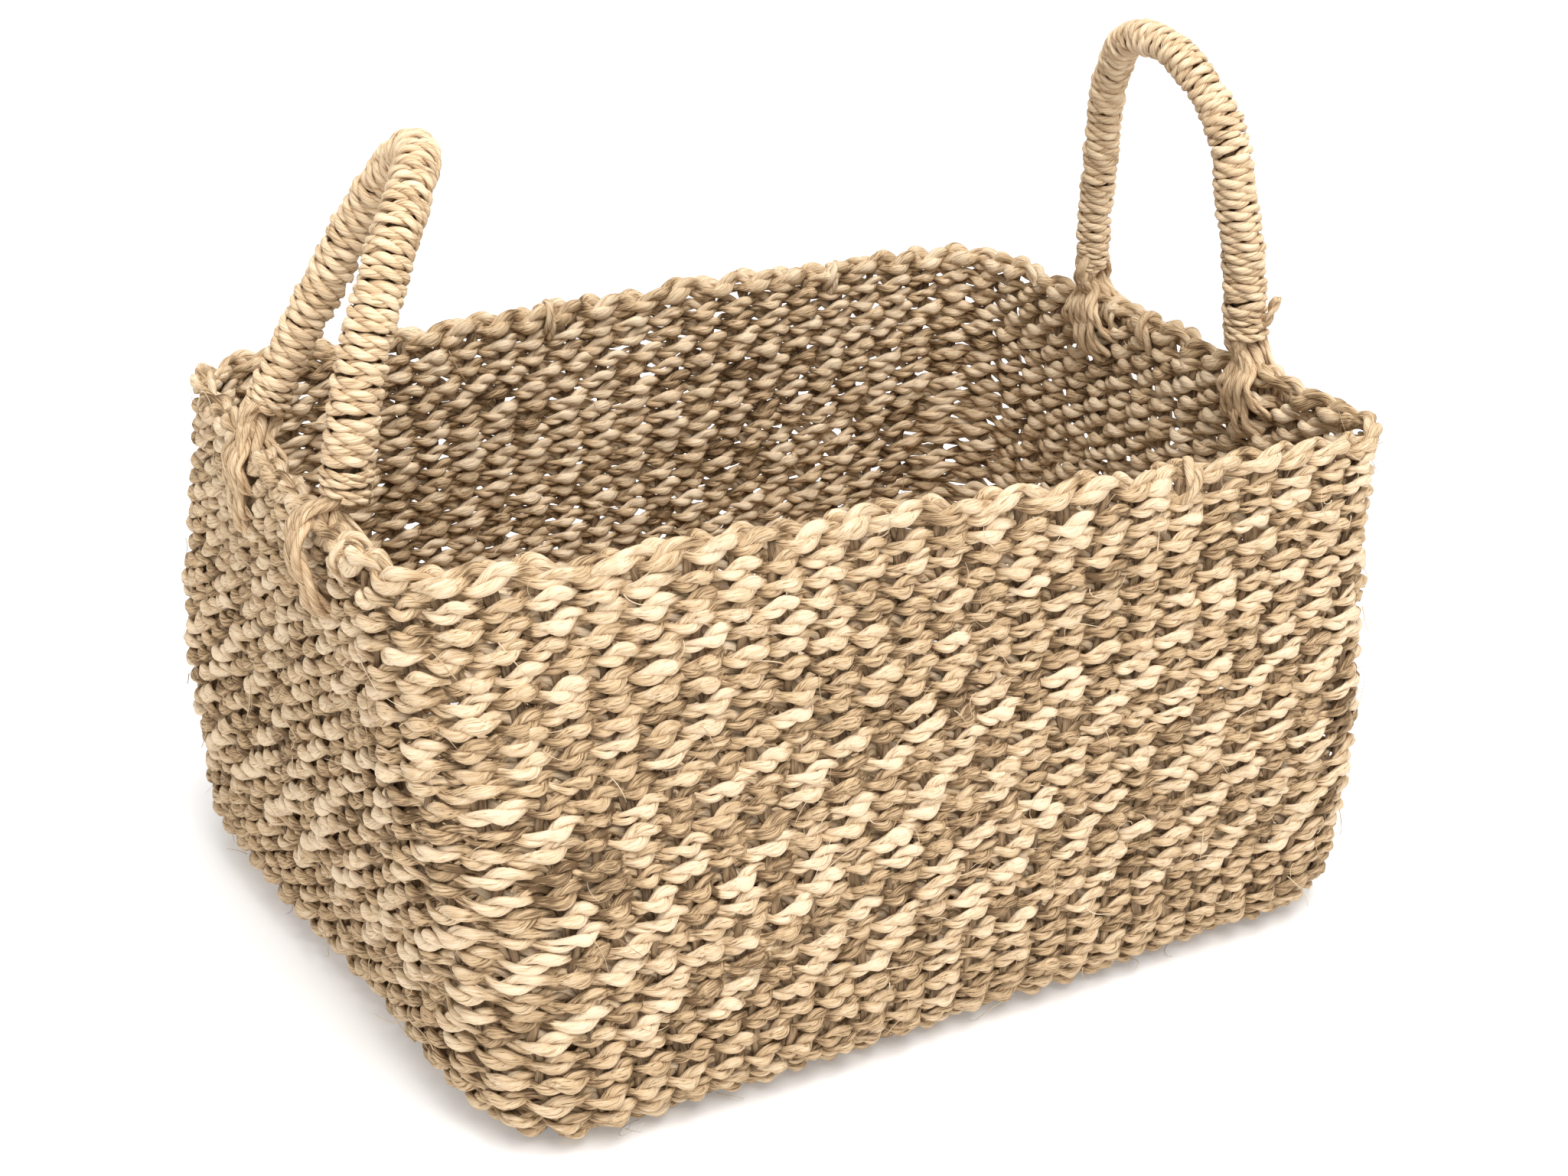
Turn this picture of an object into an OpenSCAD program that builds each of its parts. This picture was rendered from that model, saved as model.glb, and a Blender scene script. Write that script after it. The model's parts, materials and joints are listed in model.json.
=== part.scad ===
// Rectangular seagrass basket: pair-twined rows of cord over upright stakes,
// a stout border cord at the rim and a wrapped rope handle at each short end.
// Origin: centre of the base on the ground. X is the long side, Z is up.

/* [Basket] */
// Outside length at the rim
rim_length = 400; // [360:5:440]
// Outside width at the rim
rim_width = 295; // [270:5:330]
// Outside length near the ground
base_length = 385; // [360:5:430]
// Outside width near the ground
base_width = 328; // [290:2:340]
// Height from the ground to the top of the border
height = 210; // [195:15:240]
// Outside radius of the upright corners at the rim
rim_corner = 35; // [30:1:45]
// Outside radius of the upright corners near the ground
base_corner = 45; // [40:1:55]
// Outside radius of the turn from base to wall
base_turn = 26; // [24:1:30]

/* [Weave] */
// Height of one twined row
row_pitch = 7.4; // [7.2:0.1:8]
// Thickness of one weft cord, through the wall
weft_thickness = 4; // [3.6:0.1:4.2]
// Height of one weft cord, pressed flat against its neighbours
weft_height = 7; // [6.4:0.1:7]
// Diameter of an upright stake
stake_diameter = 4.2; // [3.6:0.1:4.2]
// Room between the outer and inner passes of a row
stake_channel = 4.8; // [4.8:0.1:5.2]
// Stakes in the straight part of each long wall
long_stakes = 21; // [17:2:23]
// Stakes in the straight part of each short wall
short_stakes = 15; // [11:2:15]
// Stakes in the round of each corner
corner_stakes = 2; // [1:1:2]
// Rows that turn under the edge of the base
turn_rows = 4; // [4:1:4]

/* [Border] */
// Diameter of the border cord
border_diameter = 11.2; // [10:0.2:12]
// Diameter of a stake end where it is turned over the border
tuck_diameter = 2.2; // [1.8:0.1:2.4]

/* [Handles] */
// Distance between the centres of a handle's two legs
handle_span = 108; // [100:2:116]
// Pivot to the middle of the cord at the top of the arch
handle_rise = 110; // [100:5:125]
// Outside diameter over the wrapping
handle_diameter = 17; // [15:0.5:18]
// Diameter of the rope inside the wrapping
core_diameter = 10.8; // [9:0.2:11]
// Diameter of the tight binding at the foot of a leg
neck_diameter = 18.6; // [17:0.2:19]
// How far the left handle leans in over the basket
left_lean = 25; // [0:1:30]
// How far the right handle leans in over the basket
right_lean = 9; // [0:1:30]
// How far the left handle sits towards the front wall
left_shift = 22; // [0:1:25]
// Length of the anchor strands below the border's middle
anchor_drop = 27; // [20:1:32]
// Width of an anchor strand
anchor_width = 9; // [7:1:10]
// Thickness of an anchor strand
anchor_thickness = 3; // [2:0.5:3]

/* [Hidden] */
$fn = 48;

wall = 2 * weft_thickness + stake_channel;
pass_offset = (stake_channel + weft_thickness) / 2;
turn_mid = base_turn - wall / 2;
turn_step = 90 / turn_rows;
// The passes of a turning row are taller outside the turn and shorter inside it
turn_outer_height = 8.6;
turn_inner_height = 5.4;
// Room between stretches that lie end to end
end_gap = 0.05;
rod_gap = 0.3;

border_gap = 0.2;
tuck_gap = 0.1;
border_top = height - tuck_diameter - tuck_gap;
border_z = border_top - border_diameter / 2;
wall_rows = floor((border_z - border_diameter / 2 - border_gap - base_turn) / row_pitch);
rows = turn_rows + wall_rows;
stake_top = base_turn + wall_rows * row_pitch - 0.4;

cream = [0.93, 0.84, 0.66];
tan_cord = [0.80, 0.69, 0.50];
stake_tan = [0.66, 0.54, 0.37];
wrap_tan = [0.82, 0.70, 0.54];

// Half sizes and corner radius of the wall's middle surface at height z
function half_x(z) = (base_length + (rim_length - base_length) * z / height - wall) / 2;
function half_y(z) = (base_width + (rim_width - base_width) * z / height - wall) / 2;
function corner(z) = base_corner + (rim_corner - base_corner) * z / height - wall / 2;

// Flat floor of the basket, inside the turn
floor_x = half_x(base_turn) - turn_mid;
floor_y = half_y(base_turn) - turn_mid;
floor_corner = corner(base_turn) - turn_mid;
floor_z = base_turn - turn_mid;
floor_rows = 2 * floor(floor_y / row_pitch - 0.5) + 1;
floor_end_gap = 0.8;

// How far a floor cord at y reaches before the rounded corner of the floor
function floor_reach(y) =
    let (past = abs(y) + weft_height / 2 - (floor_y - floor_corner))
    let (cut = past > 0 ? floor_corner - sqrt(max(0, pow(floor_corner, 2) - pow(past, 2))) : 0)
    floor_x - floor_end_gap - cut;

// Stakes: where each stands, as [x, y, direction it faces] at height z
function long_x(i, z) =
    (half_x(z) - corner(z)) * (2 * i / (long_stakes - 1) - 1);
function short_y(i, z) =
    (half_y(z) - corner(z)) * (2 * i / (short_stakes - 1) - 1);

// Handles
pivot_x = half_x(border_z);
saddle_mid = max(wall, border_diameter) / 2 + 0.3 + anchor_thickness / 2;
ball_radius = 5;
pivot_z = border_z + saddle_mid + anchor_thickness / 2 + 0.3 + ball_radius;
neck_flare = 8;
neck_length = 16;
leg_start = neck_length + 0.2;
arch_radius = handle_span / 2;
arch_start = handle_rise - arch_radius;
wall_lean = atan((rim_length - base_length) / 2 / height);
tail_length = 11;
tail_diameter = 3;
tail_angle = 50;
tuck_clearance = anchor_width / 2 + tuck_diameter + 1;

function pad(n) = n < 10 ? str("0", n) : str(n);

// Section of a pressed cord: upright and flat sided, with round top and bottom
module cord_section(tall) {
    round_r = weft_thickness / 2;
    square([weft_thickness, tall - weft_thickness], center = true);
    for (s = [-1, 1]) translate([0, s * (tall / 2 - round_r)]) circle(round_r);
}

// Straight and curved stretches of a ring round the basket, laid end to end,
// with the section given as the child, drawn with X outwards and Y up
module wall_ring(ax, ay, r, z) {
    for (q = [0:3]) {
        out = q % 2 == 0 ? ax : ay;
        along = q % 2 == 0 ? ay : ax;
        rotate([0, 0, 90 * q]) {
            translate([out, 0, z]) rotate([90, 0, 0])
                linear_extrude(height = 2 * (along - r) - 2 * end_gap, center = true) children();
            translate([out - r, along - r, z])
                rotate_extrude(angle = 90) translate([r, 0]) children();
        }
    }
}

// Plan of a rectangle with round corners
module round_rectangle(ax, ay, r) {
    square([2 * ax, 2 * (ay - r)], center = true);
    square([2 * (ax - r), 2 * ay], center = true);
    for (sx = [-1, 1]) for (sy = [-1, 1])
        translate([sx * (ax - r), sy * (ay - r)]) circle(r);
}

// One pass of a wall row: a closed band, offset outwards or inwards from the wall's middle
module upright_pass(z, offset_out) {
    ax = half_x(z) + offset_out;
    ay = half_y(z) + offset_out;
    r = corner(z) + offset_out;
    t = weft_thickness / 2;
    translate([0, 0, z - weft_height / 2]) linear_extrude(height = weft_height) difference() {
        round_rectangle(ax + t, ay + t, r + t);
        round_rectangle(ax - t, ay - t, r - t);
    }
}

// One pass of a row in the turn, at an angle down from the wall
module turning_pass(angle, radius, tall) {
    inset = turn_mid - radius * cos(angle);
    wall_ring(half_x(base_turn) - inset, half_y(base_turn) - inset,
        corner(base_turn) - inset, base_turn - radius * sin(angle))
        rotate(-angle) cord_section(tall);
}

// Row n, counted up from the base: an outer and an inner pass of twined cord
module weft_row(n) {
    color(n % 2 == 0 ? cream : tan_cord)
    if (n <= turn_rows) {
        angle = turn_step * (turn_rows - n + 0.5);
        turning_pass(angle, turn_mid + pass_offset, turn_outer_height);
        turning_pass(angle, turn_mid - pass_offset, turn_inner_height);
    } else {
        z = base_turn + row_pitch * (n - turn_rows - 0.5);
        upright_pass(z, pass_offset);
        upright_pass(z, -pass_offset);
    }
}

// Cords of the floor, laid lengthwise, below or above the cross stakes
module floor_weft(z) {
    first = -(floor_rows - 1) / 2;
    color(tan_cord)
    for (i = [0:floor_rows - 1]) {
        y = (first + i) * row_pitch;
        translate([0, y, z]) rotate([90, 0, 90])
            linear_extrude(height = 2 * floor_reach(y), center = true)
                rotate(90) cord_section(weft_height);
    }
}

// The upright stretch of a stake, standing on the turn
module stake_rod(foot, head) {
    v = head - foot;
    len = norm(v);
    translate(foot) rotate([0, acos(v.z / len), atan2(v.y, v.x)]) translate([0, 0, rod_gap])
        cylinder(h = len - rod_gap, d = stake_diameter);
}

// A quarter bend from the wall down into the floor, facing outwards at angle a
module stake_turn(foot, a) {
    translate(foot) rotate([0, 0, a]) translate([-turn_mid, 0, 0]) rotate([90, 0, 0])
        rotate_extrude(angle = 90, start = 270) translate([turn_mid, 0]) circle(d = stake_diameter);
}

// Long stakes: up the front wall, under the floor cords and up the back wall
module cross_stakes() {
    color(stake_tan)
    for (i = [0:long_stakes - 1]) {
        x0 = long_x(i, base_turn);
        for (s = [-1, 1]) {
            foot = [x0, s * half_y(base_turn), base_turn];
            stake_rod(foot, [long_x(i, stake_top), s * half_y(stake_top), stake_top]);
            stake_turn(foot, 90 * s);
        }
        translate([x0, 0, floor_z]) rotate([90, 0, 0])
            cylinder(h = 2 * floor_y, d = stake_diameter, center = true);
    }
}

// Short-wall stakes, side s, ending where the floor begins
module end_stakes(s) {
    color(stake_tan)
    for (i = [0:short_stakes - 1]) {
        foot = [s * half_x(base_turn), short_y(i, base_turn), base_turn];
        stake_rod(foot, [s * half_x(stake_top), short_y(i, stake_top), stake_top]);
        stake_turn(foot, s > 0 ? 0 : 180);
    }
}

// Point on the round of a corner: quadrant signs sx and sy, angle a off the X axis
function corner_point(sx, sy, a, z) = [
    sx * (half_x(z) - corner(z) + corner(z) * cos(a)),
    sy * (half_y(z) - corner(z) + corner(z) * sin(a)),
    z];

module corner_stakes_group() {
    color(stake_tan)
    for (sx = [-1, 1]) for (sy = [-1, 1]) for (i = [1:corner_stakes]) {
        a = 90 * i / (corner_stakes + 1);
        foot = corner_point(sx, sy, a, base_turn);
        stake_rod(foot, corner_point(sx, sy, a, stake_top));
        stake_turn(foot, atan2(sy * sin(a), sx * cos(a)));
    }
}

module rim_border() {
    color(cream)
    wall_ring(half_x(border_z), half_y(border_z), corner(border_z), border_z)
        circle(d = border_diameter);
}

// A stake end turned over the border, where the wall faces outwards at angle a
module tuck(at, a) {
    r = border_diameter / 2 + tuck_gap + tuck_diameter / 2;
    translate([at.x, at.y, border_z]) rotate([0, 0, a]) rotate([90, 0, 0])
        rotate_extrude(angle = 180) translate([r, 0]) circle(d = tuck_diameter);
}

// True where an anchor strand of the handle on side s leaves no room for a tuck
function under_anchor(s, y) =
    min([for (leg = [-1, 1]) abs(y - handle_y(s) - leg * handle_span / 2)]) < tuck_clearance;

module stake_end_tucks() {
    color(tan_cord) {
        for (i = [0:long_stakes - 1]) for (s = [-1, 1])
            tuck([long_x(i, border_z), s * half_y(border_z)], 90 * s);
        for (i = [0:short_stakes - 1]) for (s = [-1, 1])
            if (!under_anchor(s, short_y(i, border_z)))
                tuck([s * half_x(border_z), short_y(i, border_z)], s > 0 ? 0 : 180);
    }
}

// Centre of a handle along the short wall; s is -1 for left and 1 for right
function handle_y(s) = s < 0 ? -left_shift : 0;
function handle_lean(s) = s < 0 ? left_lean : -right_lean;

// The frame of a handle: pivot line at Z = 0, arch standing up along Z
module handle_frame(s) {
    translate([s * pivot_x, handle_y(s), pivot_z]) rotate([0, handle_lean(s), 0]) children();
}

// The arch of a handle, with its section as the child
module arch() {
    translate([0, 0, arch_start]) rotate([90, 0, 90])
        rotate_extrude(angle = 180) translate([arch_radius, 0]) children();
    for (leg = [-1, 1]) translate([0, leg * arch_radius, leg_start])
        linear_extrude(height = arch_start - leg_start) children();
}

module handle_core(s) {
    color(stake_tan) handle_frame(s) arch() circle(d = core_diameter);
}

module handle_wrap(s) {
    color(wrap_tan) handle_frame(s) arch() difference() {
        circle(d = handle_diameter);
        circle(d = core_diameter + 0.2);
    }
}

// Tight binding at the foot of a leg, tapering to a ball at the pivot
module neck(s, leg) {
    color(wrap_tan) handle_frame(s) translate([0, leg * arch_radius, 0]) {
        sphere(r = ball_radius);
        cylinder(h = neck_flare, r1 = ball_radius, d2 = neck_diameter);
        translate([0, 0, neck_flare])
            cylinder(h = neck_length - neck_flare, d = neck_diameter);
    }
}

// Strand that straddles the border and hangs down both faces of the wall
module anchor(s, leg) {
    color(stake_tan)
    translate([s * pivot_x, handle_y(s) + leg * arch_radius, border_z])
    rotate([0, s * wall_lean, 0]) rotate([90, 0, 0])
    linear_extrude(height = anchor_width, center = true) {
        intersection() {
            difference() {
                circle(saddle_mid + anchor_thickness / 2);
                circle(saddle_mid - anchor_thickness / 2);
            }
            translate([-2 * saddle_mid, 0]) square([4 * saddle_mid, 2 * saddle_mid]);
        }
        for (side = [-1, 1])
            translate([side * saddle_mid - anchor_thickness / 2, -anchor_drop])
                square([anchor_thickness, anchor_drop]);
    }
}

// Loose end of the wrapping cord, sticking out in front of the right front neck
module right_wrap_tail() {
    color(wrap_tan) handle_frame(1)
        translate([0, -arch_radius - (neck_diameter + tail_diameter) / 2, neck_length - tail_diameter])
            rotate([tail_angle, 0, 0]) cylinder(h = tail_length, d = tail_diameter);
}

for (n = [1:rows])
    weft_row(n);
floor_weft(floor_z - pass_offset);  // floor_weft_lower
floor_weft(floor_z + pass_offset);  // floor_weft_upper
cross_stakes();
end_stakes(-1);  // left_end_stakes
end_stakes(1);  // right_end_stakes
corner_stakes_group();
rim_border();
stake_end_tucks();
for (s = [-1, 1]) {
    side = s < 0 ? "left" : "right";
    handle_core(s);
    handle_wrap(s);
    neck(s, -1);
    neck(s, 1);
    anchor(s, -1);
    anchor(s, 1);
}
right_wrap_tail();
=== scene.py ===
import json
import math

import bpy
import numpy as np
from mathutils import Matrix, Vector


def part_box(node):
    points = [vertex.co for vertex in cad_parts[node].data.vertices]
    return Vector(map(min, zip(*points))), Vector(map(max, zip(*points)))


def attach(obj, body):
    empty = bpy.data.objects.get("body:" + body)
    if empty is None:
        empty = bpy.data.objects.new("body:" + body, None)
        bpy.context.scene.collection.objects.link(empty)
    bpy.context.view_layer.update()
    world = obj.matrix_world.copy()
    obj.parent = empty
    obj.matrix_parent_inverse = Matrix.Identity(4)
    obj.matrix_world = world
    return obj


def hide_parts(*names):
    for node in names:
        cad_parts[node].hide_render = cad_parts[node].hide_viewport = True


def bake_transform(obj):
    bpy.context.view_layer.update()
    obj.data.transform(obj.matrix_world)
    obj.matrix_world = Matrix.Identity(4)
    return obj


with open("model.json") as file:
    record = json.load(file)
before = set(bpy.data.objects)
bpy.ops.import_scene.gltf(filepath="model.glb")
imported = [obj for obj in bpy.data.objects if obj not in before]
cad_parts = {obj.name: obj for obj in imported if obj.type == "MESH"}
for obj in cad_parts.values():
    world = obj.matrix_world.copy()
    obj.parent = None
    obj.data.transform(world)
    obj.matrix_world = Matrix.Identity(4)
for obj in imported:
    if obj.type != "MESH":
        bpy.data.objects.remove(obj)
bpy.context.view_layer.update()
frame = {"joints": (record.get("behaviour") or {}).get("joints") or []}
rng = np.random.default_rng(11)

# Lengths below are in millimetres until a mesh is written.
MM = 0.001


def box_mm(node):
    """The low and high corners of a CAD node's box."""
    low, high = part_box(node)
    return np.array(low) / MM, np.array(high) / MM


# ------------------------------------------------------------------ camera and light
# The camera's azimuth, elevation and roll in degrees, its place in metres and its lens in millimetres,
# from the fit of a perspective camera to the basket's edges
AZ, EL, ROLL = -28.961, 21.772, -0.1475
CAM_AT = (-0.5260, -0.9710, 0.5636)
LENS = 68.366
SENSOR_WIDTH = 36.0


def make_camera():
    """The camera at the photo's viewing angle."""
    az, el, roll = (math.radians(v) for v in (AZ, EL, ROLL))
    back = np.array([math.sin(az) * math.cos(el), -math.cos(az) * math.cos(el), math.sin(el)])
    right = np.array([math.cos(az), math.sin(az), 0.0])
    up = np.cross(back, right)
    rolled_right = math.cos(roll) * right + math.sin(roll) * up
    rolled_up = -math.sin(roll) * right + math.cos(roll) * up
    cam = bpy.data.cameras.new("camera")
    cam.lens = LENS
    cam.sensor_width = SENSOR_WIDTH
    cam.clip_start = 0.01
    obj = bpy.data.objects.new("camera", cam)
    bpy.context.scene.collection.objects.link(obj)
    place = Matrix.Identity(4)
    for row in range(3):
        for column, vector in enumerate((rolled_right, rolled_up, back, CAM_AT)):
            place[row][column] = vector[row]
    obj.matrix_world = place
    bpy.context.scene.camera = obj


def area_light(name, at, aim, size, power):
    """A square soft light at one point, aimed at another, with its side in metres and its power in watts."""
    data = bpy.data.lights.new(name, "AREA")
    data.shape = "SQUARE"
    data.size = size
    data.energy = power
    obj = bpy.data.objects.new(name, data)
    obj.location = at
    obj.rotation_euler = (Vector(aim) - Vector(at)).to_track_quat("-Z", "Y").to_euler()
    bpy.context.scene.collection.objects.link(obj)


# ------------------------------------------------------------------ shape of the wall
# The wall's thickness, the outer radius of its turn into the floor, and the turn's middle radius and length
WALL = 12.8
BASE_TURN = 26.0
TURN_MID = BASE_TURN - WALL / 2
TURN_LEN = TURN_MID * math.pi / 2
ROW_PITCH = 7.4
TURN_ROWS = 4
ROWS = 27
# Outer radius of the upright corners at the rim and at the base, and the wall's height
RIM_CORNER, BASE_CORNER = 35.0, 45.0
HEIGHT = 210.0
_low5, _high5 = box_mm("weft_row_05")
_low27, _high27 = box_mm("weft_row_27")
_z5, _z27 = (_low5[2] + _high5[2]) / 2, (_low27[2] + _high27[2]) / 2
# The height of the rim cord's middle, and how far up the wall's section that is
BORDER_Z = float(np.mean([v[2] for v in box_mm("rim_border")]))
RIM_W = TURN_LEN + BORDER_Z - BASE_TURN


def half_size(axis, z):
    """Half the basket's length (axis 0) or width (axis 1) to the middle of the wall at height z."""
    a = (_high5[axis] - _low5[axis]) / 2 - WALL / 2
    b = (_high27[axis] - _low27[axis]) / 2 - WALL / 2
    return a + (b - a) * (z - _z5) / (_z27 - _z5)


def corner_radius(z):
    """Radius of the upright corners to the middle of the wall at height z."""
    return BASE_CORNER + (RIM_CORNER - BASE_CORNER) * z / HEIGHT - WALL / 2


# Stake places round the basket, one unit of t apart: front, right, back and left walls
# with three units in the round of each corner.
LONG, SHORT, ROUND = 20, 14, 3
BREAKS = np.cumsum([0, LONG, ROUND, SHORT, ROUND, LONG, ROUND, SHORT, ROUND]).astype(float)
STAKES = int(BREAKS[-1])


def ring(t, ax, ay, rc):
    """Point and outward direction in plan at t, on a rectangle of half sizes ax and ay with round corners."""
    t = np.mod(t, STAKES)
    x = np.zeros_like(t)
    y = np.zeros_like(t)
    heading = np.zeros_like(t)
    corner_signs = [(1, -1), (1, 1), (-1, 1), (-1, -1)]
    for k in range(8):
        here = (t >= BREAKS[k]) & (t < BREAKS[k + 1] + (1e-9 if k == 7 else 0))
        f = (t[here] - BREAKS[k]) / (BREAKS[k + 1] - BREAKS[k])
        flat_x, flat_y = ax[here] - rc[here], ay[here] - rc[here]
        side = k // 2
        if k % 2 == 0:
            run = 2 * f - 1
            wall_x = (flat_x * run, ax[here], -flat_x * run, -ax[here])
            wall_y = (-ay[here], flat_y * run, ay[here], -flat_y * run)
            x[here] = wall_x[side]
            y[here] = wall_y[side]
            heading[here] = (-math.pi / 2, 0.0, math.pi / 2, math.pi)[side]
        else:
            turned = -math.pi / 2 + side * math.pi / 2 + f * math.pi / 2
            sign_x, sign_y = corner_signs[side]
            x[here] = sign_x * flat_x + rc[here] * np.cos(turned)
            y[here] = sign_y * flat_y + rc[here] * np.sin(turned)
            heading[here] = turned
    return x, y, np.cos(heading), np.sin(heading)


# How far each corner of the rim and of the base stands from a true rectangle
RIM_SHIFT = np.array([[-17.3, 6.0, 10.6], [0.5, -9.0, -4.0], [2.8, 8.4, -0.2], [12.5, -0.9, 1.7]])
BASE_SHIFT = np.array([[1.9, -17.1, 0.0], [0.6, 7.3, 0.0], [0.1, 0.0, 0.0], [-4.3, 0.4, 0.0]])
CORNER_SIGN = np.array([[-1, -1], [1, -1], [1, 1], [-1, 1]])
# The plan distances at which those moves are whole, and how far out each wall bulges at half height
WARP_X, WARP_Y = 195, 150
BULGE = 4.0


def warp(p):
    """The hand-made irregularity of the whole basket, as a smooth move of every point."""
    u = np.clip(p[:, 0] / WARP_X, -1.08, 1.08)
    v = np.clip(p[:, 1] / WARP_Y, -1.12, 1.12)
    h = np.clip(p[:, 2] / HEIGHT, 0, 1.0)
    out = p.copy()
    for k in range(4):
        w = (1 + CORNER_SIGN[k, 0] * u) * (1 + CORNER_SIGN[k, 1] * v) / 4
        w = np.clip(w, 0, 1)
        out += w[:, None] * (RIM_SHIFT[k] * h[:, None] + BASE_SHIFT[k] * (1 - h[:, None]))
    return out


class Waves:
    """Smooth noise over the wall: a sum of waves that close up round the basket."""

    def __init__(self, n, most_round, most_up, amp):
        self.m = rng.integers(0, most_round + 1, n)
        self.q = rng.uniform(-most_up, most_up, n)
        self.ph = rng.uniform(0, 2 * math.pi, n)
        self.a = rng.normal(0, 1, n)
        self.a *= amp / math.sqrt(float(np.sum(self.a ** 2)) / 2)

    def __call__(self, t, w):
        """The noise at stake place t and height w along the wall."""
        out = np.zeros_like(t)
        for m, q, ph, a in zip(self.m, self.q, self.ph, self.a):
            out += a * np.sin(2 * math.pi * (m * t / STAKES + q * w / 100) + ph)
        return out


# Dents in and out of the wall and rises of the rows in millimetres, and lean of the stakes in stake places
DENT = Waves(14, 9, 0.9, 1.3)
RISE = Waves(12, 7, 0.8, 0.9)
LEAN = Waves(10, 5, 0.5, 0.12)


def surface(t, w, r):
    """Point at stake place t, w along the wall's section from the floor's edge, r out from the wall's middle.
    Returns the point and the outward direction."""
    t = t + LEAN(t, w)
    w = w + RISE(t, w) * np.clip(w / 30, 0, 1)
    th = np.clip((TURN_LEN - w) / TURN_MID, 0, math.pi / 2)
    z = np.where(w < TURN_LEN, BASE_TURN - TURN_MID * np.sin(th), BASE_TURN + w - TURN_LEN)
    inset = TURN_MID * (1 - np.cos(th)) + np.maximum(0, -w)
    zs = np.maximum(z, BASE_TURN)
    ax, ay = half_size(0, zs) - inset, half_size(1, zs) - inset
    rc = np.maximum(corner_radius(zs) - inset, 3.0)
    x, y, nx, ny = ring(t, ax, ay, rc)
    k = np.clip(z / HEIGHT, 0, 1)
    r = r + BULGE * 4 * k * (1 - k) + DENT(t, w) * np.clip(w / 40, 0, 1)
    n = np.stack([nx * np.cos(th), ny * np.cos(th), -np.sin(th)], 1)
    p = np.stack([x, y, z], 1) + n * r[:, None]
    return p, n


# ------------------------------------------------------------------ meshes from strands
def unit(vectors):
    """The vectors, one to a row, each made one long."""
    return vectors / np.maximum(np.linalg.norm(vectors, axis=1), 1e-9)[:, None]


def length_along(p):
    """Distance along a line from its first point to each of its points."""
    return np.concatenate([[0], np.cumsum(np.linalg.norm(np.diff(p, axis=0), axis=1))])


# Length of strand over which one set of folds changes into the next
FOLD_LENGTH = 9.0


def folds(along, sides):
    """Random ridges and grooves that run along a strand and change slowly."""
    step = along / FOLD_LENGTH
    i = np.floor(step).astype(int)
    f = (step - i)[:, None]
    values = rng.normal(0, 1, (i[-1] + 2, sides))
    values -= values.mean(axis=1)[:, None]
    return values[i] * (1 - f) + values[i + 1] * f


class Strands:
    """Gathers strands, each a tube with an oval section, into one mesh."""

    def __init__(self):
        self.co, self.quads, self.caps, self.tone, self.grain = [], [], [], [], []
        self.count = 0

    def add(self, p, ref, ra, rb, tone, sides=8, twist=0.0, ridge=0.0):
        """p points; ref a direction across the strand, along which the half thickness is ra, with rb across
        that. twist turns the grain per millimetre. ridge is the depth of the folds along the strand, as a
        share of its thickness."""
        n = len(p)
        tan = unit(np.gradient(p, axis=0))
        side = unit(np.cross(tan, ref))
        out = np.cross(side, tan)
        ra = np.broadcast_to(ra, (n,))
        rb = np.broadcast_to(rb, (n,))
        along = length_along(p)
        angle = 2 * math.pi * np.arange(sides) / sides
        c, s = np.cos(angle)[None, :, None], np.sin(angle)[None, :, None]
        section = out[:, None] * (ra[:, None, None] * c) + side[:, None] * (rb[:, None, None] * s)
        if ridge:
            section = section * (1 + ridge * folds(along, sides))[:, :, None]
        self.co.append((p[:, None] + section).reshape(-1, 3))
        i = np.arange(n - 1)[:, None] * sides
        j = np.arange(sides)[None, :]
        a = i + j
        b = i + (j + 1) % sides
        q = np.stack([a, b, b + sides, a + sides], -1).reshape(-1, 4)[:, ::-1] + self.count
        self.quads.append(q)
        self.caps.append(self.count + np.arange(sides))
        self.caps.append(self.count + (n - 1) * sides + np.arange(sides)[::-1])
        self.tone.append(np.repeat(np.broadcast_to(tone, (n,)), sides))
        turn = angle[None, :] + twist * along[:, None]
        rad = np.maximum((ra + rb) / 2, 0.3)[:, None]
        own = rng.uniform(0, 400)
        grain = np.stack([np.broadcast_to(along[:, None] + own, turn.shape),
                          rad * np.cos(turn) + own * 3.1, rad * np.sin(turn)], -1)
        self.grain.append(grain.reshape(-1, 3))
        self.count += n * sides

    def mesh(self, name, material, body, replaced=(), slot=None, warped=False):
        """Writes the strands as one piece that rides a body and replaces CAD nodes."""
        co = np.concatenate(self.co)
        co = (warp(co) if warped else co) * MM
        co[:, 2] = np.maximum(co[:, 2], 0)
        quads = np.concatenate(self.quads)
        cap_len = np.array([len(cap) for cap in self.caps])
        loops = np.concatenate([quads.reshape(-1)] + self.caps).astype(np.int32)
        totals = np.concatenate([np.full(len(quads), 4), cap_len])
        starts = np.concatenate([[0], np.cumsum(totals)[:-1]]).astype(np.int32)
        me = bpy.data.meshes.new(name)
        me.vertices.add(len(co))
        me.vertices.foreach_set("co", co.astype(np.float32).ravel())
        me.loops.add(len(loops))
        me.loops.foreach_set("vertex_index", loops)
        me.polygons.add(len(totals))
        me.polygons.foreach_set("loop_start", starts)
        me.polygons.foreach_set("use_smooth", np.ones(len(totals), dtype=bool))
        me.update(calc_edges=True)
        tone = me.attributes.new("tone", "FLOAT", "POINT")
        tone.data.foreach_set("value", np.concatenate(self.tone).astype(np.float32))
        grain = me.attributes.new("grain", "FLOAT_VECTOR", "POINT")
        grain.data.foreach_set("vector", np.concatenate(self.grain).astype(np.float32).ravel())
        me.materials.append(material)
        obj = bpy.data.objects.new(name, me)
        bpy.context.scene.collection.objects.link(obj)
        if body:
            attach(obj, body)
        if replaced:
            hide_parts(*replaced)
        return obj


# ------------------------------------------------------------------ materials
# The place of the middle colour between dark and light
MID_STOP = 0.45


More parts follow.
